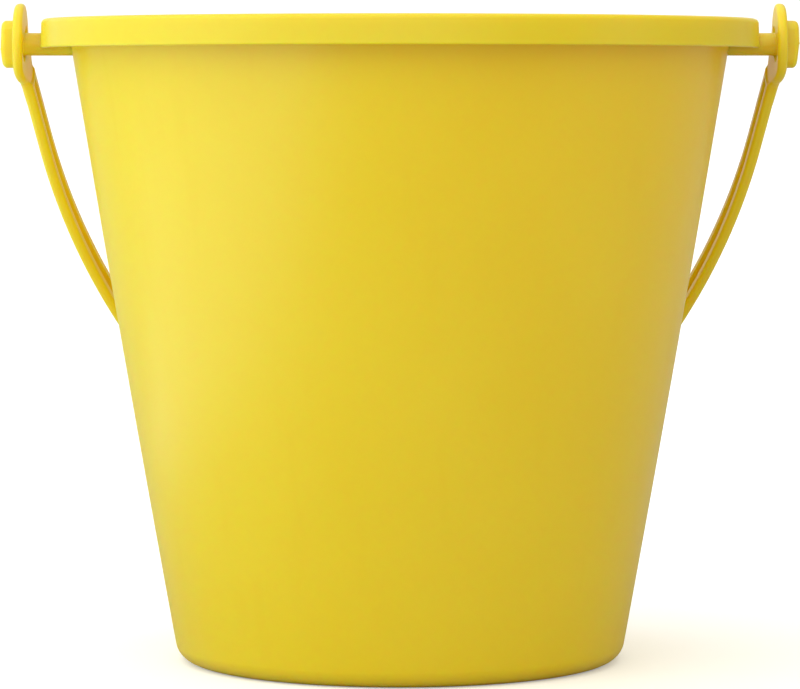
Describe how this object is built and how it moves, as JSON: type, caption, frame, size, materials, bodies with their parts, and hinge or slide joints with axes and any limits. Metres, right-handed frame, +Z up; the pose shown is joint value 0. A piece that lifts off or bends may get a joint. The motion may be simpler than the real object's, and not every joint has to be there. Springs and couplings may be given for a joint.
{
  "type": "sand bucket",
  "caption": "Round tapered beach bucket with a turned-down rim, two side pegs and a swinging bow handle.",
  "frame": {"origin": "centre of the base, on the surface that the bucket stands on", "axes": "+Z up out of the mouth, +X through the two side pegs, +Y towards the side on which the handle hangs down"},
  "size_m": [0.2004, 0.18, 0.1653],
  "materials": {
    "yellow_plastic": "satin injection-moulded polypropylene, slightly translucent yellow"
  },
  "bodies": {
    "bucket": {"bucket": "yellow_plastic"},
    "handle": {"handle": "yellow_plastic"}
  },
  "joints": [
    {"name": "handle_swing", "type": "hinge", "parent": "bucket", "child": "handle", "pos_m": [0, 0, 0.1551], "axis": [1, 0, 0], "range_deg": [0, 300]}
  ]
}
